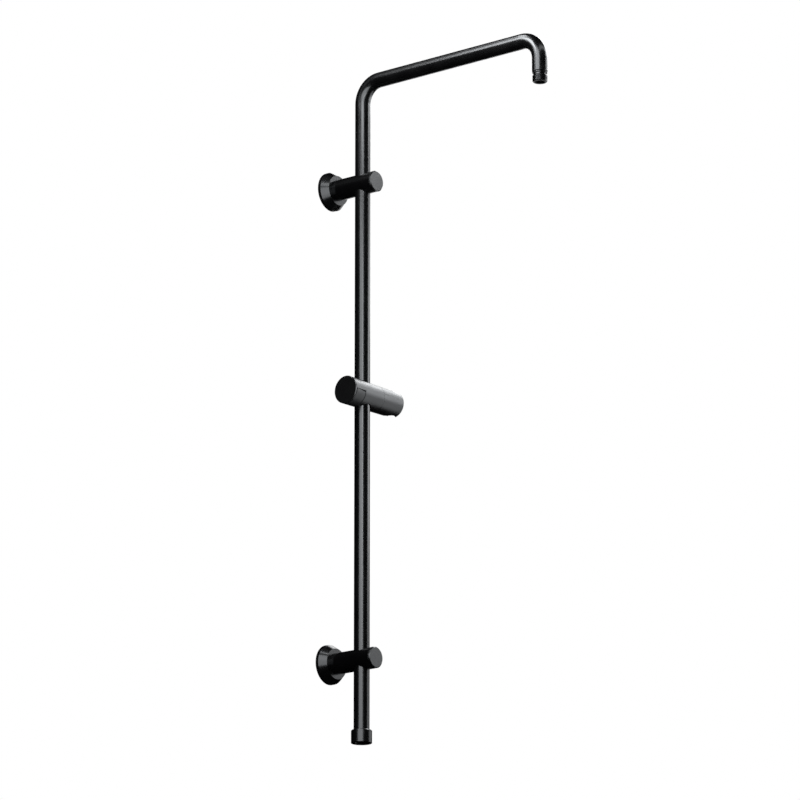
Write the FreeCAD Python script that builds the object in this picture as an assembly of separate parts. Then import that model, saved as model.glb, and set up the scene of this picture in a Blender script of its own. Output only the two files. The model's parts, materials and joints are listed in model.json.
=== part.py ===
import FreeCAD, Part
import math
import os

# Shower slide rail: a bent riser tube held off the wall by two brackets, with a handset slider on it.
# Millimetres. +Z is up, +Y points into the wall, and the wall is the plane Y = 0.
# The origin is the centre of the lower bracket's wall face.

V = FreeCAD.Vector

# Riser tube
tube_d = 22.0
tube_wall = 1.2
bend_r = 30.0
standoff = 59.5
bracket_spacing = 688.0
arm_rise = 150.0
arm_reach = 316.0
outlet_drop = 51.0
inlet_drop = 99.6
tube_edge = 0.3

# Outlet nipple, with a half-inch pipe thread turned to its major diameter
thread_d = 20.955
thread_length = 9.9
thread_lead = 1.3
thread_core_d = 18.631
waterway_d = 14.0
nipple_groove_d = 20.0
nipple_groove = 0.8
nipple_rim_d = 20.9
nipple_rim = 1.5
nipple_neck_d = 17.4
nipple_neck = 2.7
spigot_length = 8.0

# Inlet union
nut_d = 29.0
nut_height = 18.2
nut_edge = 1.0
nut_socket = 1.0
nut_web = 2.4
nut_relief = 0.1
tail_neck_d = 15.4
tail_collar_d = 18.2
tail_collar = 2.0
tail_bore_d = 12.0
seal_thickness = 2.0

# Wall brackets
flange_d = 55.8
flange_rim = 4.7
flange_depth = 15.0
flange_face_d = 43.0
flange_wall = 1.5
post_d = 30.0
cap_front = 25.8
cap_thickness = 2.5
cap_bevel = 1.2
cap_ring_d = 17.9
cap_ring_wall = 1.5
cap_ring_length = 4.0
cap_recess = 5.0
boss_margin = 1.4
boss_disc = 3.0
boss_spigot_d = 20.0
boss_spigot = 14.5
wall_screw_d = 4.5
wall_screw_head_d = 8.6
wall_screw_edge = 7.0
set_screw_d = 5.0
set_screw_length = 4.6
set_screw_depth = 9.0
clamp_screw_d = 8.0
clamp_screw_length = 5.5
clamp_pad_length = 2.0
hex_share = 0.5

# Slider barrel, measured along X from the rail axis
slider_height = 378.5
knob_reach = 37.4
cup_reach = 70.7
knob_end_d = 39.8
cup_end_d = 36.8
seam_reach = 26.6
seam_gap = 0.3
end_cap_thickness = 2.0
end_bevel = 0.8
seam_bevel = 0.15
shadow_groove = 0.7
shadow_groove_depth = 0.9

# Rail hole of the slider
bush_wall = 1.56
bush_length = 5.8
bush_inset = 8.0
bush_split = 1.6
hole_lip = 0.4
land_gap = 0.6

# Brake
shoe_d = 10.0
shoe_length = 6.0
stem_d = 4.0
stem_head_d = 6.8
stem_head = 2.0
spring_length = 8.0
spring_wire_d = 1.2
spring_mean_d = 6.8
spring_turns = 4.0
plate_thickness = 2.0
shoe_stick_out = 1.0
spring_room = 6.0
plate_step = 2.0

# Release lever, with lever_top the drop of its window's upper edge below the barrel's axis
lever_wall = 4.2
lever_room = 2.4
lever_reach = 16.2
lever_top = 0.2
lever_lean = 6.5
lever_slit_end = 2.3
lever_slit_start = 0.5
lever_end_gap = 1.05
pin_d = 2.5
pin_reach = 32.5
pin_depth = 9.9
pin_length = 14.0
rib_width = 8.0
rib_bite = 1.05
lug_width = 2.7
arm_thickness = 1.8
arm_height = 2.6
cap_sleeve_wall = 1.5
cap_sleeve_floor = 4.0

# Handset holder
socket_reach = 63.5
socket_mid_d = 21.0
socket_taper = 3.7
socket_tilt = 16.0
tilt_boss_d = 18.0
tilt_boss = 11.6
tilt_web = 5.7
tilt_screw_d = 5.0
tilt_screw_length = 14.0
tilt_screw_drill = 1.0
tilt_head_d = 8.8
tilt_head = 3.0
tilt_washer_d = 10.4
tilt_washer_t = 0.8
tilt_ring_d = 1.4
tilt_ring_inset = 5.6

# Clearances
run_fit = 0.06
slip_fit = 0.05
braze_fit = 0.02
face_gap = 0.3
contact_gap = 0.05
flange_fit = 0.15

# Places worked out from the sizes above
rail_y = -standoff
outlet_y = rail_y - arm_reach
arm_z = bracket_spacing + arm_rise
outlet_z = arm_z - outlet_drop
inlet_z = -inlet_drop
tube_r = tube_d / 2
bore_r = tube_r - tube_wall
boss_disc_r = flange_d / 2 - flange_wall - boss_margin
wall_screw_reach = boss_disc_r - wall_screw_edge
slider_centre = V(0, rail_y, slider_height)
along_x = V(1, 0, 0)
outward = V(0, -1, 0)
upward = V(0, 0, 1)
downward = V(0, 0, -1)

pieces = {}


def turned(outline, origin, direction):
    """Solid of revolution: outline holds (radius, distance along direction from origin)."""
    wire = Part.makePolygon([V(radius, 0, height) for radius, height in outline + outline[:1]])
    solid = Part.Face(wire).revolve(V(0, 0, 0), upward, 360)
    solid.Placement = FreeCAD.Placement(origin, FreeCAD.Rotation(upward, direction))
    return solid


def rod(diameter, start, end):
    """Round bar from one point to another."""
    return Part.makeCylinder(diameter / 2, (end - start).Length, start, end - start)


def block(low, high):
    """Box between two opposite corners."""
    size = high - low
    return Part.makeBox(size.x, size.y, size.z, low)


def hexagon(across_flats, depth, origin, direction):
    """Six-sided prism for a driver socket."""
    corner_r = across_flats / math.sqrt(3)
    angles = [side * math.pi / 3 for side in range(7)]
    corners = [V(corner_r * math.cos(angle), corner_r * math.sin(angle), 0) for angle in angles]
    prism = Part.Face(Part.makePolygon(corners)).extrude(V(0, 0, depth))
    prism.Placement = FreeCAD.Placement(origin, FreeCAD.Rotation(upward, direction))
    return prism


def set_screw(diameter, length, origin, direction):
    """Headless screw with a hexagon socket sunk in its far end."""
    screw = Part.makeCylinder(diameter / 2, length, origin, direction)
    socket_depth = length * hex_share
    mouth = origin + direction * (length - socket_depth)
    return screw.cut(hexagon(diameter * hex_share, socket_depth, mouth, direction))


def rail_route():
    """Centre line of the riser, the two bends, the arm and the down leg."""
    turn = bend_r * math.sqrt(0.5)
    foot = V(0, rail_y, inlet_z)
    riser_top = V(0, rail_y, arm_z - bend_r)
    bend_1_mid = V(0, rail_y - bend_r + turn, arm_z - bend_r + turn)
    arm_start = V(0, rail_y - bend_r, arm_z)
    arm_end = V(0, outlet_y + bend_r, arm_z)
    bend_2_mid = V(0, outlet_y + bend_r - turn, arm_z - bend_r + turn)
    leg_top = V(0, outlet_y, arm_z - bend_r)
    leg_foot = V(0, outlet_y, outlet_z)
    curves = [
        Part.LineSegment(foot, riser_top),
        Part.Arc(riser_top, bend_1_mid, arm_start),
        Part.LineSegment(arm_start, arm_end),
        Part.Arc(arm_end, bend_2_mid, leg_top),
        Part.LineSegment(leg_top, leg_foot),
    ]
    return Part.Wire([curve.toShape() for curve in curves])


def swept(radius):
    """Round bar of the given radius along the rail route."""
    section = Part.Wire(Part.makeCircle(radius, V(0, rail_y, inlet_z), upward))
    return rail_route().makePipeShell([section], True, False)


def make_riser():
    """The bent tube, open at both ends, with its outer end edges broken."""
    tube = swept(tube_r).cut(swept(bore_r))
    edge_ring = [
        (tube_r - tube_edge, 0),
        (tube_r + tube_edge, 0),
        (tube_r + tube_edge, tube_edge),
        (tube_r, tube_edge),
    ]
    for end in (V(0, rail_y, inlet_z), V(0, outlet_y, outlet_z)):
        tube = tube.cut(turned(edge_ring, end, upward))
    pieces["riser_tube"] = tube


def make_outlet():
    """Nipple brazed into the down leg: spigot, shadow groove, rim, neck and the male thread."""
    spigot_r = bore_r - braze_fit
    groove_r = nipple_groove_d / 2
    rim_r = nipple_rim_d / 2
    thread_r = thread_d / 2
    tip_r = thread_core_d / 2
    rim_end = nipple_groove + nipple_rim
    neck_end = rim_end + nipple_neck
    tip = neck_end + thread_length
    pieces["outlet_nipple"] = turned([
        (waterway_d / 2, -spigot_length),
        (spigot_r, -spigot_length),
        (spigot_r, 0),
        (groove_r, 0),
        (groove_r, nipple_groove),
        (rim_r - tube_edge, nipple_groove),
        (rim_r, nipple_groove + tube_edge),
        (rim_r, rim_end - tube_edge),
        (rim_r - tube_edge, rim_end),
        (nipple_neck_d / 2, rim_end),
        (nipple_neck_d / 2, neck_end),
        (tip_r, neck_end),
        (thread_r, neck_end + thread_lead),
        (thread_r, tip - thread_lead),
        (tip_r, tip),
        (waterway_d / 2, tip),
    ], V(0, outlet_y, outlet_z), downward)


def make_inlet():
    """Union nut on its collared tail, with the flat seal under the collar."""
    foot = V(0, rail_y, inlet_z)
    nut_top = face_gap - nut_socket
    web_end = face_gap + nut_web
    collar_start = web_end + face_gap
    collar_end = collar_start + tail_collar
    seal_end = collar_end + seal_thickness
    nut_end = nut_top + nut_height
    pieces["inlet_tail"] = turned([
        (tail_bore_d / 2, -spigot_length),
        (bore_r - braze_fit, -spigot_length),
        (bore_r - braze_fit, 0),
        (tail_neck_d / 2, 0),
        (tail_neck_d / 2, collar_start),
        (tail_collar_d / 2, collar_start),
        (tail_collar_d / 2, collar_end),
        (tail_bore_d / 2, collar_end),
    ], foot, downward)
    pieces["inlet_seal"] = turned([
        (tail_bore_d / 2, collar_end),
        (tail_collar_d / 2, collar_end),
        (tail_collar_d / 2, seal_end),
        (tail_bore_d / 2, seal_end),
    ], foot, downward)
    pieces["inlet_nut"] = turned([
        (tube_r + face_gap, nut_top),
        (nut_d / 2 - nut_edge, nut_top),
        (nut_d / 2, nut_top + nut_edge),
        (nut_d / 2, nut_end - tube_edge),
        (nut_d / 2 - tube_edge, nut_end),
        (thread_d / 2, nut_end),
        (thread_core_d / 2, nut_end - thread_lead),
        (thread_core_d / 2, seal_end),
        (thread_d / 2 + nut_relief, seal_end),
        (thread_d / 2 + nut_relief, web_end),
        (tail_neck_d / 2 + face_gap, web_end),
        (tail_neck_d / 2 + face_gap, face_gap),
        (tube_r + face_gap, face_gap),
    ], foot, downward)


def make_bracket(prefix, height):
    """Wall boss, cover flange, post, cap and the screws of one bracket, measured outward from the wall."""
    foot = V(0, 0, height)

    def at(depth):
        return foot + outward * depth

    post_r = post_d / 2
    post_back = boss_disc
    cap_end = standoff + cap_front
    post_front = cap_end - cap_thickness
    spigot_end = boss_disc + boss_spigot

    boss = turned([
        (0, 0),
        (boss_disc_r, 0),
        (boss_disc_r, boss_disc),
        (boss_spigot_d / 2, boss_disc),
        (boss_spigot_d / 2, spigot_end),
        (0, spigot_end),
    ], foot, outward)
    sink = (wall_screw_head_d - wall_screw_d) / 2
    for side in (-1, 1):
        centre = foot + along_x * (side * wall_screw_reach)
        boss = boss.cut(rod(wall_screw_d, centre, centre + outward * boss_disc))
        boss = boss.cut(Part.makeCone(wall_screw_d / 2, wall_screw_head_d / 2, sink,
                                      centre + outward * (boss_disc - sink), outward))
    pieces[prefix + "_wall_boss"] = boss

    hole_r = post_r + flange_fit
    slope = (flange_d - flange_face_d) / 2 / (flange_depth - flange_rim)
    inner_face = flange_depth - flange_wall
    inner_rim_r = flange_d / 2 - flange_wall
    inner_face_r = inner_rim_r - slope * (inner_face - flange_rim)
    pieces[prefix + "_wall_flange"] = turned([
        (inner_rim_r, 0),
        (flange_d / 2, 0),
        (flange_d / 2, flange_rim),
        (flange_face_d / 2, flange_depth),
        (hole_r, flange_depth),
        (hole_r, inner_face),
        (inner_face_r, inner_face),
        (inner_rim_r, flange_rim),
    ], foot, outward)

    pad_start = standoff + tube_r + contact_gap
    screw_start = pad_start + clamp_pad_length
    screw_hole_d = clamp_screw_d + 2 * slip_fit
    post = turned([
        (0, spigot_end + face_gap),
        (boss_spigot_d / 2 + slip_fit, spigot_end + face_gap),
        (boss_spigot_d / 2 + slip_fit, post_back),
        (post_r, post_back),
        (post_r, post_front - tube_edge),
        (post_r - tube_edge, post_front),
        (cap_ring_d / 2 + slip_fit, post_front),
        (cap_ring_d / 2 + slip_fit, post_front - cap_recess),
        (0, post_front - cap_recess),
    ], foot, outward)
    tall = upward * post_d
    post = post.cut(rod(tube_d + 2 * slip_fit, at(standoff) - tall, at(standoff) + tall))
    post = post.cut(rod(screw_hole_d, at(standoff), at(post_front)))
    set_start = boss_spigot_d / 2 + contact_gap
    set_hole_end = at(set_screw_depth) + downward * post_d
    post = post.cut(rod(set_screw_d + 2 * slip_fit, at(set_screw_depth), set_hole_end))
    pieces[prefix + "_post"] = post

    ring_r = cap_ring_d / 2
    pieces[prefix + "_post_cap"] = turned([
        (0, post_front),
        (ring_r - cap_ring_wall, post_front),
        (ring_r - cap_ring_wall, post_front - cap_ring_length),
        (ring_r, post_front - cap_ring_length),
        (ring_r, post_front),
        (post_r - tube_edge, post_front),
        (post_r, post_front + tube_edge),
        (post_r, cap_end - cap_bevel),
        (post_r - cap_bevel, cap_end),
        (0, cap_end),
    ], foot, outward)

    pad = rod(clamp_screw_d, at(standoff), at(screw_start))
    hollow = rod(tube_d + 2 * contact_gap, at(standoff) - tall, at(standoff) + tall)
    pieces[prefix + "_clamp_pad"] = pad.cut(hollow)
    pieces[prefix + "_clamp_screw"] = set_screw(clamp_screw_d, clamp_screw_length, at(screw_start), outward)
    pieces[prefix + "_set_screw"] = set_screw(
        set_screw_d, set_screw_length, at(set_screw_depth) + downward * set_start, downward)


def slider_radius(reach):
    """Radius of the barrel, which narrows evenly from the knob end to the cup end."""
    share = (reach + knob_reach) / (cup_reach + knob_reach)
    return (knob_end_d + (cup_end_d - knob_end_d) * share) / 2


def on_axis(reach):
    """Point on the barrel's axis."""
    return slider_centre + along_x * reach


def barrel(start, end, start_bevel, end_bevel_size, start_core=0.0, end_core=0.0):
    """Length of the barrel with bevelled ends and, where asked, a bore."""
    return turned([
        (start_core, start),
        (slider_radius(start) - start_bevel, start),
        (slider_radius(start + start_bevel), start + start_bevel),
        (slider_radius(end - end_bevel_size), end - end_bevel_size),
        (slider_radius(end) - end_bevel_size, end),
        (end_core, end),
    ], slider_centre, along_x)


# Places inside the slider, along its axis
body_start = end_cap_thickness - knob_reach
body_end = seam_reach - seam_gap / 2
cup_start = seam_reach + seam_gap / 2
bush_r = tube_r + run_fit + bush_wall
seat_r = bush_r + run_fit
land_r = tube_r + land_gap
lip_r = seat_r - hole_lip
seat_start = bush_inset
seat_end = bush_inset + bush_length + 2 * contact_gap
shoe_front = -(tube_r + contact_gap)
shoe_back = shoe_front - shoe_length
plate_front = shoe_back - spring_length
plate_back = plate_front - plate_thickness
arm_front = plate_back - face_gap - contact_gap
arm_back = arm_front - arm_thickness
head_front = arm_back - contact_gap
head_back = head_front - stem_head
cavity_floor = shoe_back + shoe_stick_out
spring_room_r = (spring_mean_d + spring_wire_d) / 2 + spring_room
plate_r = spring_room_r + plate_step
pin_drop = knob_end_d / 2 - pin_depth
pin_centre = on_axis(-pin_reach) + downward * pin_drop
lever_start = body_start + face_gap
lever_end = -lever_reach
window_end = lever_end + lever_end_gap


def below(drop_start, drop_end):
    """Slab under a plane that sinks from drop_start at the lever's hinge end to drop_end at its free end."""
    reach = 2 * knob_reach
    fall = (drop_end - drop_start) / (lever_end - lever_start)
    high_z = -drop_start + fall * reach
    low_z = -drop_start - fall * reach
    side = V(0, -knob_end_d, 0)
    corners = [
        V(lever_start - reach, 0, high_z),
        V(lever_start + reach, 0, low_z),
        V(lever_start + reach, 0, -knob_end_d),
        V(lever_start - reach, 0, -knob_end_d),
    ]
    shifted = [slider_centre + corner + side for corner in corners]
    return Part.Face(Part.makePolygon(shifted + shifted[:1])).extrude(V(0, 2 * knob_end_d, 0))


def hinge_relief():
    """Wedge that slants the lever's hinge end above the pin, so that it clears the end cap when pressed."""
    lean = pin_drop * math.tan(math.radians(lever_lean))
    side = V(0, -knob_end_d, 0)
    corners = [
        V(lever_start, 0, -pin_drop),
        V(lever_start + lean, 0, 0),
        V(lever_start - pin_drop, 0, 0),
    ]
    shifted = [slider_centre + corner + side for corner in corners]
    return Part.Face(Part.makePolygon(shifted + shifted[:1])).extrude(V(0, 2 * knob_end_d, 0))


def make_slider_body():
    """Barrel housing with the rail hole, the brake cavity, the lever's window and the holder's boss."""
    body = barrel(body_start, body_end, seam_bevel, seam_bevel)
    boss_r = tilt_boss_d / 2
    ring_mid = body_end + tilt_ring_inset
    groove_r = boss_r - tilt_ring_d
    body = body.fuse(turned([
        (0, body_end - seam_bevel),
        (boss_r, body_end - seam_bevel),
        (boss_r, ring_mid - tilt_ring_d / 2 - contact_gap),
        (groove_r, ring_mid - tilt_ring_d / 2 - contact_gap),
        (groove_r, ring_mid + tilt_ring_d / 2 + contact_gap),
        (boss_r, ring_mid + tilt_ring_d / 2 + contact_gap),
        (boss_r, body_end + tilt_boss),
        (0, body_end + tilt_boss),
    ], slider_centre, along_x))

    tall = upward * knob_end_d
    body = body.cut(rod(2 * land_r, slider_centre - tall, slider_centre + tall))
    for direction in (upward, downward):
        seat_near = slider_centre + direction * seat_start
        seat_far = slider_centre + direction * seat_end
        body = body.cut(rod(2 * seat_r, seat_near, seat_far))
        body = body.cut(rod(2 * lip_r, seat_far, slider_centre + direction * knob_end_d))

    body = body.cut(rod(2 * plate_r + 2 * slip_fit, on_axis(body_start), on_axis(plate_front)))
    body = body.cut(rod(2 * spring_room_r, on_axis(plate_front), on_axis(cavity_floor)))
    body = body.cut(rod(shoe_d + 2 * run_fit, on_axis(cavity_floor), on_axis(-tube_r / 2)))

    window_r = knob_end_d / 2 - lever_wall - lever_room
    shell = rod(2 * knob_end_d, on_axis(body_start), on_axis(window_end))
    shell = shell.cut(rod(2 * window_r, on_axis(body_start), on_axis(window_end)))
    body = body.cut(shell.common(below(lever_top, lever_top)))
    half = rib_width / 2 + face_gap + lug_width + face_gap
    slot_low = on_axis(body_start) + V(0, -half, -knob_end_d)
    slot_high = on_axis(plate_back) + V(0, half, 0)
    body = body.cut(block(slot_low, slot_high))

    screw_end = body_end + tilt_boss + tilt_web + face_gap + contact_gap - tilt_screw_length
    body = body.cut(rod(tilt_screw_d, on_axis(screw_end - tilt_screw_drill), on_axis(body_end + tilt_boss)))
    pieces["slider_body"] = body


def make_end_cap():
    """Bevelled disc with a shadow groove, the spring plate's half sleeve and two lugs for the lever's pin."""
    cap = barrel(-knob_reach, body_start, end_bevel, 0.0)
    groove_start = on_axis(body_start - shadow_groove)
    groove_d = 2 * (slider_radius(body_start) - shadow_groove_depth)
    groove = rod(2 * knob_end_d, groove_start, on_axis(body_start))
    cap = cap.cut(groove.cut(rod(groove_d, groove_start, on_axis(body_start))))
    sleeve = rod(2 * plate_r, on_axis(body_start), on_axis(plate_back))
    sleeve = sleeve.cut(rod(2 * (plate_r - cap_sleeve_wall), on_axis(body_start), on_axis(plate_back)))
    floor_low = on_axis(body_start) + V(0, -knob_end_d, cap_sleeve_floor)
    floor_high = on_axis(plate_back) + V(0, knob_end_d, knob_end_d)
    cap = cap.fuse(sleeve.common(block(floor_low, floor_high)))
    lug_r = pin_d
    for side in (-1, 1):
        inner = side * (rib_width / 2 + face_gap)
        outer = inner + side * lug_width
        low = on_axis(body_start) + V(0, min(inner, outer), -pin_drop - lug_r)
        high = on_axis(-pin_reach) + V(0, max(inner, outer), -pin_drop + lug_r)
        nose = rod(2 * lug_r, pin_centre + V(0, inner, 0), pin_centre + V(0, outer, 0))
        cap = cap.fuse(block(low, high).fuse(nose))
    half_pin = V(0, pin_length / 2, 0)
    pieces["end_cap"] = cap.cut(rod(pin_d, pin_centre - half_pin, pin_centre + half_pin))
    pieces["lever_pin"] = rod(pin_d - 2 * braze_fit, pin_centre - half_pin, pin_centre + half_pin)


def make_release_lever():
    """Panel flush with the barrel, its rib on the hinge pin and the forked arm behind the shoe's stem."""
    panel = barrel(lever_start, lever_end, 0.0, 0.0)
    inner_d = knob_end_d - 2 * lever_wall
    panel = panel.cut(rod(inner_d, on_axis(lever_start), on_axis(lever_end)))
    panel = panel.common(below(lever_top + lever_slit_start, lever_top + lever_slit_end))
    panel = panel.cut(hinge_relief())

    rib_low = -(inner_d / 2 + rib_bite)
    rib_back = lever_start + face_gap
    shoulder = -pin_drop + pin_d
    outline = [
        V(rib_back, 0, rib_low),
        V(rib_back, 0, -pin_drop),
        V(-pin_reach, 0, shoulder),
        V(arm_back, 0, shoulder),
        V(arm_back, 0, arm_height),
        V(arm_front, 0, arm_height),
        V(arm_front, 0, shoulder - pin_d),
        V(arm_back, 0, rib_low),
    ]
    near = slider_centre - V(0, rib_width / 2, 0)
    corners = [near + point for point in outline]
    rib = Part.Face(Part.makePolygon(corners + corners[:1])).extrude(V(0, rib_width, 0))
    lever = panel.fuse(rib)
    fork_half = stem_d / 2 + face_gap
    fork_low = on_axis(arm_back) + V(0, -fork_half, -fork_half - face_gap)
    fork_high = on_axis(arm_front) + V(0, fork_half, knob_end_d)
    lever = lever.cut(block(fork_low, fork_high))
    half_pin = V(0, pin_length / 2, 0)
    pin_hole = rod(pin_d + 2 * run_fit, pin_centre - half_pin, pin_centre + half_pin)
    pieces["release_lever"] = lever.cut(pin_hole)


def make_brake():
    """Shoe that grips the rail, the coil spring behind it and the plate that backs the spring."""
    tall = upward * knob_end_d
    shoe = rod(shoe_d, on_axis(shoe_back), on_axis(-tube_r / 2))
    shoe = shoe.cut(rod(tube_d + 2 * contact_gap, slider_centre - tall, slider_centre + tall))
    shoe = shoe.fuse(rod(stem_d, on_axis(head_back), on_axis(shoe_back)))
    shoe = shoe.fuse(rod(stem_head_d, on_axis(head_back), on_axis(head_front)))
    pieces["brake_shoe"] = shoe

    coil_length = spring_length - spring_wire_d - 2 * contact_gap
    coil = Part.makeHelix(coil_length / spring_turns, coil_length, spring_mean_d / 2)
    section = Part.Wire(Part.makeCircle(spring_wire_d / 2, V(spring_mean_d / 2, 0, 0), V(0, 1, 0)))
    spring = Part.Wire(coil).makePipeShell([section], True, True)
    spring_start = on_axis(plate_front + contact_gap + spring_wire_d / 2)
    spring.Placement = FreeCAD.Placement(spring_start, FreeCAD.Rotation(upward, along_x))
    pieces["brake_spring"] = spring

    plate = rod(2 * plate_r, on_axis(plate_back), on_axis(plate_front))
    pieces["spring_plate"] = plate.cut(rod(stem_d + 2 * run_fit, on_axis(plate_back), on_axis(plate_front)))


def make_bushes():
    """Split rings that guide the slider on the rail, one at each end of its hole."""
    for name, direction in (("upper_bush", upward), ("lower_bush", downward)):
        start = slider_centre + direction * (seat_start + contact_gap)
        end = start + direction * bush_length
        ring = rod(2 * bush_r, start, end).cut(rod(tube_d + 2 * run_fit, start, end))
        low_z = min(start.z, end.z)
        high_z = max(start.z, end.z)
        split = block(V(-bush_split / 2, rail_y, low_z), V(bush_split / 2, rail_y + knob_end_d, high_z))
        pieces[name] = ring.cut(split)


def make_holder():
    """Cup with the tapered handset socket open at its end, on a screw pivot with a friction ring."""
    recess_end = body_end + tilt_boss + face_gap
    web_end = recess_end + tilt_web
    cup = barrel(cup_start, cup_reach, seam_bevel, end_bevel)
    cup = cup.cut(rod(tilt_boss_d + 2 * run_fit, on_axis(cup_start), on_axis(recess_end)))
    cup = cup.cut(rod(tilt_screw_d + 2 * run_fit, on_axis(recess_end), on_axis(web_end)))
    cup = cup.cut(rod(tilt_washer_d + 2 * face_gap, on_axis(web_end), on_axis(socket_reach)))

    lean = math.radians(socket_tilt)
    socket_axis = V(0, -math.sin(lean), math.cos(lean))
    half = knob_end_d
    flare = half * math.tan(math.radians(socket_taper / 2))
    socket_low = on_axis(socket_reach) - socket_axis * half
    low_r = socket_mid_d / 2 - flare
    high_r = socket_mid_d / 2 + flare
    socket = Part.makeCone(low_r, high_r, 2 * half, socket_low, socket_axis)
    pieces["holder_cup"] = cup.cut(socket)

    washer_start = on_axis(web_end + contact_gap)
    washer_end = washer_start + along_x * tilt_washer_t
    washer = rod(tilt_washer_d, washer_start, washer_end)
    pieces["tilt_washer"] = washer.cut(rod(tilt_screw_d + 2 * slip_fit, washer_start, washer_end))
    screw = rod(tilt_screw_d - 2 * braze_fit, washer_end - along_x * tilt_screw_length, washer_end)
    screw = screw.fuse(rod(tilt_head_d, washer_end, washer_end + along_x * tilt_head))
    driver = hexagon(tilt_head_d * hex_share, tilt_head * hex_share,
                     washer_end + along_x * (tilt_head * hex_share), along_x)
    pieces["tilt_screw"] = screw.cut(driver)
    ring_r = tilt_boss_d / 2 - tilt_ring_d / 2
    ring_place = on_axis(body_end + tilt_ring_inset)
    pieces["tilt_ring"] = Part.makeTorus(ring_r, tilt_ring_d / 2, ring_place, along_x)


make_riser()
make_outlet()
make_inlet()
make_bracket("lower", 0.0)
make_bracket("upper", bracket_spacing)
make_slider_body()
make_end_cap()
make_release_lever()
make_brake()
make_bushes()
make_holder()

os.makedirs("parts", exist_ok=True)
for name, shape in pieces.items():
    solid = shape.removeSplitter()
    solid.exportStep("parts/" + name + ".step")
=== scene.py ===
import json
import math

import bpy
import numpy as np
from mathutils import Matrix, Vector


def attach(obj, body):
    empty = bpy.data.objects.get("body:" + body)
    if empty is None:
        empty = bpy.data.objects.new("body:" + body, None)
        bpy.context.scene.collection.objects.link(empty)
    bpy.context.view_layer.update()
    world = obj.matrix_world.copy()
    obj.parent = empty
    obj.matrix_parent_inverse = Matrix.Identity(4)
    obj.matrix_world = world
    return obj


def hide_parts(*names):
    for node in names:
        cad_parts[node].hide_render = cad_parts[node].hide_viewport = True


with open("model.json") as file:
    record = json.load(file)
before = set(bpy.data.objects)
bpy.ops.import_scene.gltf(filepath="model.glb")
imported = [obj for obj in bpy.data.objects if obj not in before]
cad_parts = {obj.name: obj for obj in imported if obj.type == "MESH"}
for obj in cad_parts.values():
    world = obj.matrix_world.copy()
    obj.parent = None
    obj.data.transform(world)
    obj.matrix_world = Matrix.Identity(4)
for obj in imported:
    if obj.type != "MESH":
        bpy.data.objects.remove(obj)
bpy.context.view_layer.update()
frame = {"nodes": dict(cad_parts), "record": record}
nodes = frame["nodes"]
scene = bpy.context.scene

# Sizes in metres that the threaded pieces share with the solids
rail_y = -0.0595
outlet_y = -0.3755
outlet_foot = 0.787
inlet_foot = -0.0996
thread_major_r = 0.0104775
thread_minor_r = 0.0093155
thread_pitch = 0.001814
thread_run_out = 0.0013
columns_round = 160

# Camera at the photograph's viewing angle
camera_azimuth = -51.152
camera_elevation = -15.371
camera_distance = 6.3924
camera_aim = Vector((0.02956, -0.10348, 0.36987))
focal_length = 205.66
sensor_width = 36.0
clip_distance = 100.0

# Noise keeps near one half, so patterns stretch this part of it
noise_low = 0.3
noise_high = 0.7


def shader(name):
    """New node material: gives the material, its node tree and its surface shader."""
    material = bpy.data.materials.new(name)
    material.use_nodes = True
    tree = material.node_tree
    return material, tree, tree.nodes["Principled BSDF"]


def object_place(tree, stretch):
    """Object coordinates times a stretch per axis, so that a pattern can be long one way."""
    place = tree.nodes.new("ShaderNodeTexCoord")
    mapping = tree.nodes.new("ShaderNodeMapping")
    mapping.inputs["Scale"].default_value = stretch
    tree.links.new(place.outputs["Object"], mapping.inputs["Vector"])
    return mapping.outputs["Vector"]


def grain(tree, place, scale, detail=3.0, roughness=0.55):
    """Cloudy noise whose cells are about one over scale metres wide."""
    noise = tree.nodes.new("ShaderNodeTexNoise")
    noise.inputs["Scale"].default_value = scale
    noise.inputs["Detail"].default_value = detail
    noise.inputs["Roughness"].default_value = roughness
    tree.links.new(place, noise.inputs["Vector"])
    return noise.outputs["Fac"]


def spread(tree, value, low, high):
    """Noise around one half stretched to run from low to high."""
    node = tree.nodes.new("ShaderNodeMapRange")
    node.inputs["From Min"].default_value = noise_low
    node.inputs["From Max"].default_value = noise_high
    node.inputs["To Min"].default_value = low
    node.inputs["To Max"].default_value = high
    tree.links.new(value, node.inputs["Value"])
    return node.outputs["Result"]


def tint(tree, value, dark, light):
    """Colour that goes from dark to light with the noise."""
    ramp = tree.nodes.new("ShaderNodeValToRGB")
    ramp.color_ramp.elements[0].position = noise_low
    ramp.color_ramp.elements[0].color = (*dark, 1.0)
    ramp.color_ramp.elements[1].position = noise_high
    ramp.color_ramp.elements[1].color = (*light, 1.0)
    tree.links.new(value, ramp.inputs["Fac"])
    return ramp.outputs["Color"]


def relief(tree, surface, height, depth, strength):
    """Bump of the given depth in metres."""
    bump = tree.nodes.new("ShaderNodeBump")
    bump.inputs["Strength"].default_value = strength
    bump.inputs["Distance"].default_value = depth
    tree.links.new(height, bump.inputs["Height"])
    tree.links.new(bump.outputs["Normal"], surface.inputs["Normal"])


drift_scale = 38.0
grain_gloss = 0.06
cool_reflection = (0.93, 0.965, 1.0, 1.0)


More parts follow.
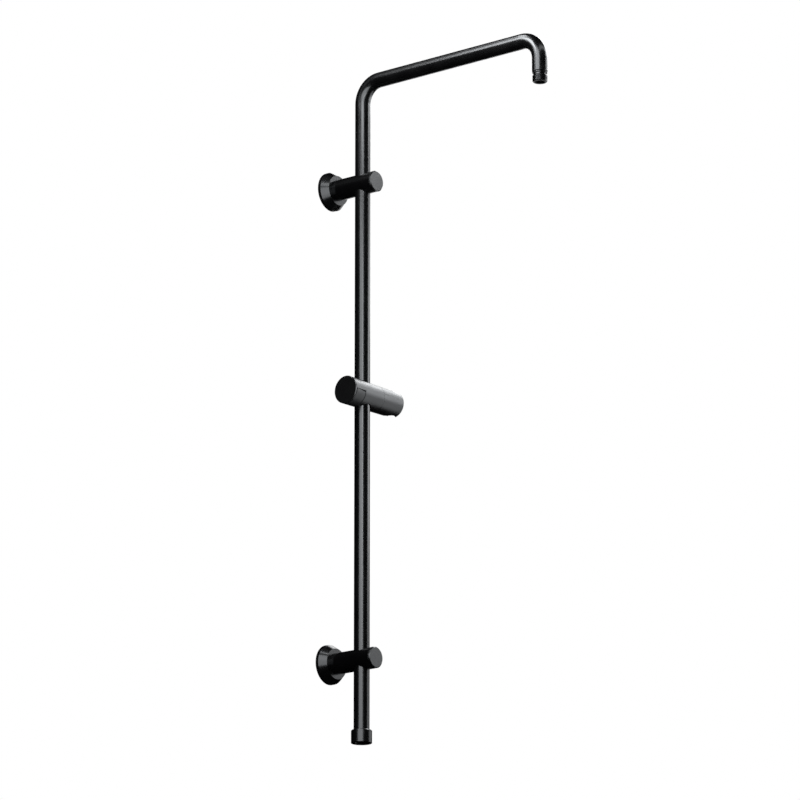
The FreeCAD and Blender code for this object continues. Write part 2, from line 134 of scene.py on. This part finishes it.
def satin_finish(name, dark, light, rough, grain_size, grain_depth, index):
    """Sprayed or moulded black: broad drifts of tone and gloss over a fine even grain."""
    material, tree, surface = shader(name)
    place = object_place(tree, (1.0, 1.0, 1.0))
    drift = grain(tree, place, drift_scale)
    fine = grain(tree, place, 1.0 / grain_size, detail=2.0)
    tree.links.new(tint(tree, drift, dark, light), surface.inputs["Base Color"])
    gloss = tree.nodes.new("ShaderNodeMath")
    gloss.operation = "MULTIPLY_ADD"
    gloss.inputs[1].default_value = grain_gloss
    tree.links.new(fine, gloss.inputs[0])
    tree.links.new(spread(tree, drift, *rough), gloss.inputs[2])
    tree.links.new(gloss.outputs["Value"], surface.inputs["Roughness"])
    relief(tree, surface, fine, grain_depth, 0.5)
    surface.inputs["IOR"].default_value = index
    surface.inputs["Specular Tint"].default_value = cool_reflection
    return material


line_depth = 0.00001


def bare_metal(name, dark, light, rough, stretch, line_scale, metallic):
    """Uncoated metal: fine lines or grain, drawn out by the stretch, in tone, gloss and relief."""
    material, tree, surface = shader(name)
    lines = grain(tree, object_place(tree, stretch), line_scale, detail=4.0)
    tree.links.new(tint(tree, lines, dark, light), surface.inputs["Base Color"])
    tree.links.new(spread(tree, lines, *rough), surface.inputs["Roughness"])
    relief(tree, surface, lines, line_depth, 0.4)
    surface.inputs["Metallic"].default_value = metallic
    return material


satin_black_coat = satin_finish(
    "satin_black_coat", dark=(0.0014, 0.0014, 0.0016), light=(0.0023, 0.0023, 0.0025),
    rough=(0.18, 0.22), grain_size=0.0005, grain_depth=0.000002, index=2.0)
# Flanges: a copy of the black coat, a touch smoother, whose weaker reflection and slightly darker base
# colour are painted shade that dims the lit patch on the flanges
smooth_flange_coat_painted_shade = satin_finish(
    "smooth_flange_coat_painted_shade", dark=(0.0013, 0.0013, 0.0015), light=(0.0020, 0.0020, 0.0022),
    rough=(0.17, 0.20), grain_size=0.0005, grain_depth=0.000002, index=1.85)
# Posts: a copy of the black coat whose weaker reflection and slightly darker base colour are painted shade
# that darkens the lit tops of the posts
post_coat_painted_shade = satin_finish(
    "post_coat_painted_shade", dark=(0.0013, 0.0013, 0.0015), light=(0.0020, 0.0020, 0.0022),
    rough=(0.18, 0.22), grain_size=0.0005, grain_depth=0.000002, index=1.5)
satin_black_moulding = satin_finish(
    "satin_black_moulding", dark=(0.0017, 0.0017, 0.0019), light=(0.0026, 0.0026, 0.0028),
    rough=(0.33, 0.38), grain_size=0.0004, grain_depth=0.000005, index=2.2)
# End cap: the black moulding, smoother, with a lighter base colour that is painted light, so its end face
# turned away from the lamps does not go fully dark
smooth_end_moulding_painted_light = satin_finish(
    "smooth_end_moulding_painted_light", dark=(0.0036, 0.0036, 0.0039), light=(0.0046, 0.0046, 0.0049),
    rough=(0.18, 0.22), grain_size=0.0005, grain_depth=0.000002, index=2.0)
matt_lever_moulding = satin_finish(
    "matt_lever_moulding", dark=(0.0019, 0.0019, 0.0021), light=(0.0028, 0.0028, 0.0030),
    rough=(0.44, 0.50), grain_size=0.0003, grain_depth=0.000010, index=2.35)
dark_bearing_plastic = satin_finish(
    "dark_bearing_plastic", dark=(0.020, 0.020, 0.022), light=(0.028, 0.028, 0.030),
    rough=(0.40, 0.48), grain_size=0.0006, grain_depth=0.000008, index=1.5)
seal_rubber = satin_finish(
    "seal_rubber", dark=(0.012, 0.012, 0.012), light=(0.018, 0.018, 0.018),
    rough=(0.62, 0.74), grain_size=0.0005, grain_depth=0.000020, index=1.5)
bright_steel = bare_metal(
    "bright_steel", dark=(0.46, 0.46, 0.47), light=(0.60, 0.60, 0.61),
    rough=(0.24, 0.36), stretch=(1.0, 1.0, 1.0), line_scale=1400.0, metallic=1.0)
turned_brass = bare_metal(
    "turned_brass", dark=(0.62, 0.44, 0.18), light=(0.76, 0.57, 0.27),
    rough=(0.22, 0.34), stretch=(0.05, 0.05, 1.0), line_scale=2600.0, metallic=1.0)
cast_zinc = bare_metal(
    "cast_zinc", dark=(0.50, 0.51, 0.52), light=(0.62, 0.63, 0.64),
    rough=(0.38, 0.52), stretch=(1.0, 1.0, 1.0), line_scale=900.0, metallic=0.5)

finish_of_slot = {
    "black_metal": satin_black_coat,
    "black_plastic": satin_black_moulding,
    "bearing_plastic": dark_bearing_plastic,
    "black_rubber": seal_rubber,
    "bare_steel": bright_steel,
    "raw_brass": turned_brass,
    "raw_zinc": cast_zinc,
}
finish_of_node = {
    # Flanges: black coat copy with painted shade
    "lower_wall_flange": smooth_flange_coat_painted_shade,
    "upper_wall_flange": smooth_flange_coat_painted_shade,
    # Posts: black coat copy with painted shade
    "lower_post": post_coat_painted_shade,
    "upper_post": post_coat_painted_shade,
    "release_lever": matt_lever_moulding,
    # End cap: black moulding copy with painted light
    "end_cap": smooth_end_moulding_painted_light,
}
for subpart in frame["record"]["subparts"]:
    node_name = subpart["node"]
    plain_finish = finish_of_slot[subpart["material_slot"]]
    nodes[node_name].data.materials.clear()
    nodes[node_name].data.materials.append(finish_of_node.get(node_name, plain_finish))


def grid_piece(name, points, material):
    """Mesh object from a closed two-way grid.

    points[i, j] goes round the section with i and round the axis with j, and each point joins its next
    neighbours both ways as a four-sided face.
    """
    rows, columns = points.shape[:2]
    index = np.arange(rows * columns).reshape(rows, columns)
    right = np.roll(index, -1, axis=1)
    corners = [index, right, np.roll(right, -1, axis=0), np.roll(index, -1, axis=0)]
    quads = np.stack(corners, axis=-1).reshape(-1, 4)
    mesh = bpy.data.meshes.new(name)
    mesh.vertices.add(rows * columns)
    mesh.vertices.foreach_set("co", points.reshape(-1).astype(np.float32))
    mesh.loops.add(quads.size)
    mesh.loops.foreach_set("vertex_index", quads.reshape(-1).astype(np.int32))
    mesh.polygons.add(len(quads))
    mesh.polygons.foreach_set("loop_start", np.arange(0, quads.size, 4, dtype=np.int32))
    mesh.update(calc_edges=True)
    mesh.validate()
    mesh.materials.append(material)
    piece = bpy.data.objects.new(name, mesh)
    scene.collection.objects.link(piece)
    return piece


def fine_outline(corners, step):
    """Closed outline of (radius, drop) corners with points added every step along its sides."""
    corners = np.array(corners)
    ends = np.roll(corners, -1, axis=0)
    counts = np.maximum(1, np.ceil(np.linalg.norm(ends - corners, axis=1) / step)).astype(int)
    owner = np.repeat(np.arange(len(corners)), counts)
    place = np.arange(counts.sum()) - np.repeat(np.cumsum(counts) - counts, counts)
    share = place / counts[owner]
    return corners[owner] + (ends - corners)[owner] * share[:, None]


def thread_depth(drop, turn, start, end):
    """Depth of the groove, 0 at the crest and 1 at the root.

    The wave runs along the drop and shifts by one pitch in each turn. Its flanks are straight, its crest
    and root are rounded off by a smooth step, and it fades out over the run-out at both ends.
    """
    phase = (drop / thread_pitch - turn / (2 * np.pi)) % 1.0
    flank = np.clip(1.18 * (1 - np.abs(2 * phase - 1)) - 0.09, 0.0, 1.0)
    rounded = flank * flank * (3 - 2 * flank) * 0.45 + flank * 0.55
    fade_in = np.clip((drop - start) / thread_run_out, 0.0, 1.0)
    fade_out = np.clip((end - drop) / thread_run_out, 0.0, 1.0)
    return rounded * np.minimum(fade_in, fade_out)


def turned_piece(name, corners, step, centre, thread, material):
    """Turned part: each outline point goes round the axis, and the radius gives way where the thread is.

    thread gives the first and last drop of the threaded wall, its radius, and the radius that the groove
    reaches, which is smaller for a male thread and larger for a female one.
    """
    outline = fine_outline(corners, step)
    turn = np.linspace(0, 2 * np.pi, columns_round, endpoint=False)[None, :]
    radius = np.repeat(outline[:, :1], columns_round, axis=1)
    drop = outline[:, 1:2]
    start, end, crest_r, root_r = thread
    on_thread = (np.abs(outline[:, 0] - crest_r) < 1e-7) & (drop[:, 0] > start) & (drop[:, 0] < end)
    depth = thread_depth(drop, turn, start, end) * on_thread[:, None]
    radius = radius + (root_r - crest_r) * depth
    points = np.stack([
        centre[0] + radius * np.cos(turn),
        centre[1] + radius * np.sin(turn),
        centre[2] - np.repeat(drop, columns_round, axis=1),
    ], axis=-1)
    return grid_piece(name, points, material)


# Outlet: spigot, shadow groove, rim, neck and a cut male thread, open through the middle
waterway_r = 0.007
spigot_r = 0.00978
spigot_top = -0.008
groove_r = 0.0088
groove_end = 0.0010
rim_r = 0.01045
rim_top_r = 0.01020
rim_foot_r = 0.01015
rim_wall_top = 0.0012
rim_wall_foot = 0.0020
rim_foot = 0.0023
neck_r = 0.0087
neck_end = 0.0050
thread_tip = 0.0149
male_start = neck_end + thread_run_out
male_end = thread_tip - thread_run_out
outlet_step = 0.00016
threaded_outlet = turned_piece("threaded_outlet", [
    (waterway_r, spigot_top),
    (spigot_r, spigot_top),
    (spigot_r, 0.0),
    (groove_r, 0.0),
    (groove_r, groove_end),
    (rim_top_r, groove_end),
    (rim_r, rim_wall_top),
    (rim_r, rim_wall_foot),
    (rim_foot_r, rim_foot),
    (neck_r, rim_foot),
    (neck_r, neck_end),
    (thread_minor_r, neck_end),
    (thread_major_r, male_start),
    (thread_major_r, male_end),
    (thread_minor_r, thread_tip),
    (waterway_r, thread_tip),
], outlet_step, (0.0, outlet_y, outlet_foot),
    (male_start, male_end, thread_major_r, thread_minor_r), satin_black_coat)
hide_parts("outlet_nipple")
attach(threaded_outlet, "column")

# Union nut: bevelled barrel with a cut female thread below the seal
collar_bore_r = 0.0113
nut_r = 0.0145
nut_bevel_r = 0.0135
nut_foot_r = 0.0142
nut_bevel = 0.0010
nut_edge = 0.0003
nut_top = -0.0007
nut_end = 0.0175
web_bore_r = 0.0080
web_top = 0.0003
web_end = 0.0027
seal_seat_r = 0.0105775
seal_end = 0.007
female_end = nut_end - thread_run_out
nut_step = 0.00018
threaded_nut = turned_piece("threaded_nut", [
    (collar_bore_r, nut_top),
    (nut_bevel_r, nut_top),
    (nut_r, nut_top + nut_bevel),
    (nut_r, nut_end - nut_edge),
    (nut_foot_r, nut_end),
    (thread_major_r, nut_end),
    (thread_minor_r, female_end),
    (thread_minor_r, seal_end),
    (seal_seat_r, seal_end),
    (seal_seat_r, web_end),
    (web_bore_r, web_end),
    (web_bore_r, web_top),
    (collar_bore_r, web_top),
], nut_step, (0.0, rail_y, inlet_foot),
    (seal_end, female_end, thread_minor_r, thread_major_r), satin_black_coat)
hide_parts("inlet_nut")
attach(threaded_nut, "inlet_nut")


# Studio
def flat_sheet(name, centre, across, along, material):
    """Plain rectangle spanned by two half-length vectors."""
    centre, across, along = (np.array(v, float) for v in (centre, across, along))
    corners = centre + np.array([-across - along, across - along, across + along, along - across])
    mesh = bpy.data.meshes.new(name)
    mesh.from_pydata(corners.tolist(), [], [(0, 1, 2, 3)])
    mesh.materials.append(material)
    sheet = bpy.data.objects.new(name, mesh)
    scene.collection.objects.link(sheet)
    return sheet


def plain_sheet_finish(name, grey, rough):
    """Even matt grey for the floor and the cards."""
    material, tree, surface = shader(name)
    surface.inputs["Base Color"].default_value = (grey, grey, grey, 1.0)
    surface.inputs["Roughness"].default_value = rough
    surface.inputs["Specular IOR Level"].default_value = 0.0
    return material, tree, surface


def seen_directly(tree):
    """1 for a ray from the camera, a reflection or a clear piece, and 0 for light that falls on the part."""
    path = tree.nodes.new("ShaderNodeLightPath")
    total = path.outputs["Is Camera Ray"]
    for kind in ("Is Glossy Ray", "Is Transmission Ray"):
        larger = tree.nodes.new("ShaderNodeMath")
        larger.operation = "MAXIMUM"
        tree.links.new(total, larger.inputs[0])
        tree.links.new(path.outputs[kind], larger.inputs[1])
        total = larger.outputs["Value"]
    return total


def between(tree, share, low, high):
    """Goes from low to high as the share goes from 0 to 1."""
    node = tree.nodes.new("ShaderNodeMapRange")
    node.inputs["To Min"].default_value = low
    node.inputs["To Max"].default_value = high
    tree.links.new(share, node.inputs["Value"])
    return node.outputs["Result"]


floor_z = -1.75
floor_half = 40.0
floor_lift = 0.55


def pale_floor_finish():
    """Matt pale grey that looks lighter where it is seen, and adds no light to the part."""
    material, tree, surface = plain_sheet_finish("pale_floor", 0.92, 0.9)
    surface.inputs["Emission Color"].default_value = (1.0, 1.0, 1.0, 1.0)
    lift = between(tree, seen_directly(tree), 0.0, floor_lift)
    tree.links.new(lift, surface.inputs["Emission Strength"])
    material.cycles.emission_sampling = "NONE"
    return material


flat_sheet("floor", (0.0, 0.0, floor_z), (floor_half, 0.0, 0.0), (0.0, floor_half, 0.0), pale_floor_finish())

black_card = plain_sheet_finish("black_card", 0.002, 1.0)[0]
card_middle_z = 0.6
wide = (2.6, 0.0, 0.0)
tall = (0.0, 0.0, 2.2)
deep = (0.0, 2.0, 0.0)
deep_under = (0.0, 2.4, 0.0)


def dark_card(name, centre, across, along):
    """Black card that only reflections see, for the dark bands beside the highlights."""
    card = flat_sheet(name, centre, across, along, black_card)
    card.visible_camera = False
    card.visible_diffuse = False
    card.visible_shadow = False


dark_card("card_behind", (0.0, 1.3, card_middle_z), wide, tall)
dark_card("card_left", (-2.4, -0.6, card_middle_z), deep, tall)
dark_card("card_front", (0.0, -2.6, card_middle_z), wide, tall)
dark_card("card_right", (2.6, -0.6, card_middle_z), deep, tall)
dark_card("card_under", (0.0, -0.4, -1.1), wide, deep_under)
dark_card("card_above", (0.0, 0.2, 2.8), wide, deep)


def soft_box(name, centre, target, width, height, radiance):
    """Area light of the given radiance that faces its target."""
    lamp = bpy.data.lights.new(name, "AREA")
    lamp.shape = "RECTANGLE"
    lamp.size = width
    lamp.size_y = height
    lamp.energy = radiance * width * height * math.pi
    box = bpy.data.objects.new(name, lamp)
    scene.collection.objects.link(box)
    box.location = centre
    box.rotation_euler = (Vector(target) - Vector(centre)).to_track_quat("-Z", "Y").to_euler()
    box.visible_camera = False


# Soft boxes that face straight across: x, y and z of the middle, width, height and radiance
left = -0.8
right = 1.1
side_boxes = {
    "box_left": (left, -0.375, 0.625, 0.65, 0.65, 1.85),
    "box_left_front": (left, -0.875, 0.625, 0.35, 0.65, 3.45),
    "box_left_edge": (left, -1.225, 0.15, 0.35, 0.6, 0.5),
    "box_left_low": (left, -0.55, 0.075, 1.0, 0.45, 1.5),
    "box_left_high": (left, -0.015, 1.5, 0.33, 0.6, 9.2),
    "box_left_rear": (left, 0.275, 1.5, 0.25, 0.6, 6.2),
    "box_left_back": (left, 0.48, 1.9, 0.16, 0.6, 8.0),
    "box_outlet": (-0.45, -0.405, 1.02, 0.43, 0.24, 3.1),
    "box_right": (right, -0.8, -0.15, 1.1, 1.2, 0.74),
    "box_right_mid": (right, -0.8, 0.725, 1.1, 0.55, 2.1),
    "box_right_dim": (right, -0.8, 1.125, 1.1, 0.25, 0.75),
    "box_right_high": (right, -0.8, 1.525, 1.1, 0.55, 3.9),
    "box_right_top": (right, 0.025, 1.5, 0.55, 0.6, 5.8),
    "box_right_rear": (right, 0.025, 1.0, 0.55, 0.4, 1.2),
    "box_back_low": (right, 0.6, 0.55, 0.6, 0.5, 0.8),
    "box_back_high": (right, 0.6, 1.3, 0.6, 1.0, 2.3),
}
for box_name, (x, y, z, width, height, radiance) in side_boxes.items():
    soft_box(box_name, (x, y, z), (0.0, y, z), width, height, radiance)
soft_box("box_above", (-0.5, 0.4, 2.3), (-0.5, 0.4, 0.0), 0.6, 0.5, 6.5)

# White air: full white where it is seen, and softer as light on the part
fill_light = 0.4
world = bpy.data.worlds.new("white_studio")
scene.world = world
world.use_nodes = True
air = world.node_tree
sky = air.nodes["Background"]
sky.inputs["Color"].default_value = (1.0, 1.0, 1.0, 1.0)
air.links.new(between(air, seen_directly(air), fill_light, 1.0), sky.inputs["Strength"])

azimuth = math.radians(camera_azimuth)
rise = math.radians(camera_elevation)
to_camera = Vector((math.sin(azimuth) * math.cos(rise), -math.cos(azimuth) * math.cos(rise), math.sin(rise)))
to_right = Vector((math.cos(azimuth), math.sin(azimuth), 0.0))
axes = Matrix((to_right, to_camera.cross(to_right), to_camera)).transposed()
lens = bpy.data.cameras.new("camera")
lens.lens = focal_length
lens.sensor_width = sensor_width
lens.clip_end = clip_distance
camera = bpy.data.objects.new("camera", lens)
scene.collection.objects.link(camera)
camera.matrix_world = Matrix.Translation(camera_aim + to_camera * camera_distance) @ axes.to_4x4()
scene.camera = camera
scene.view_settings.view_transform = "Standard"
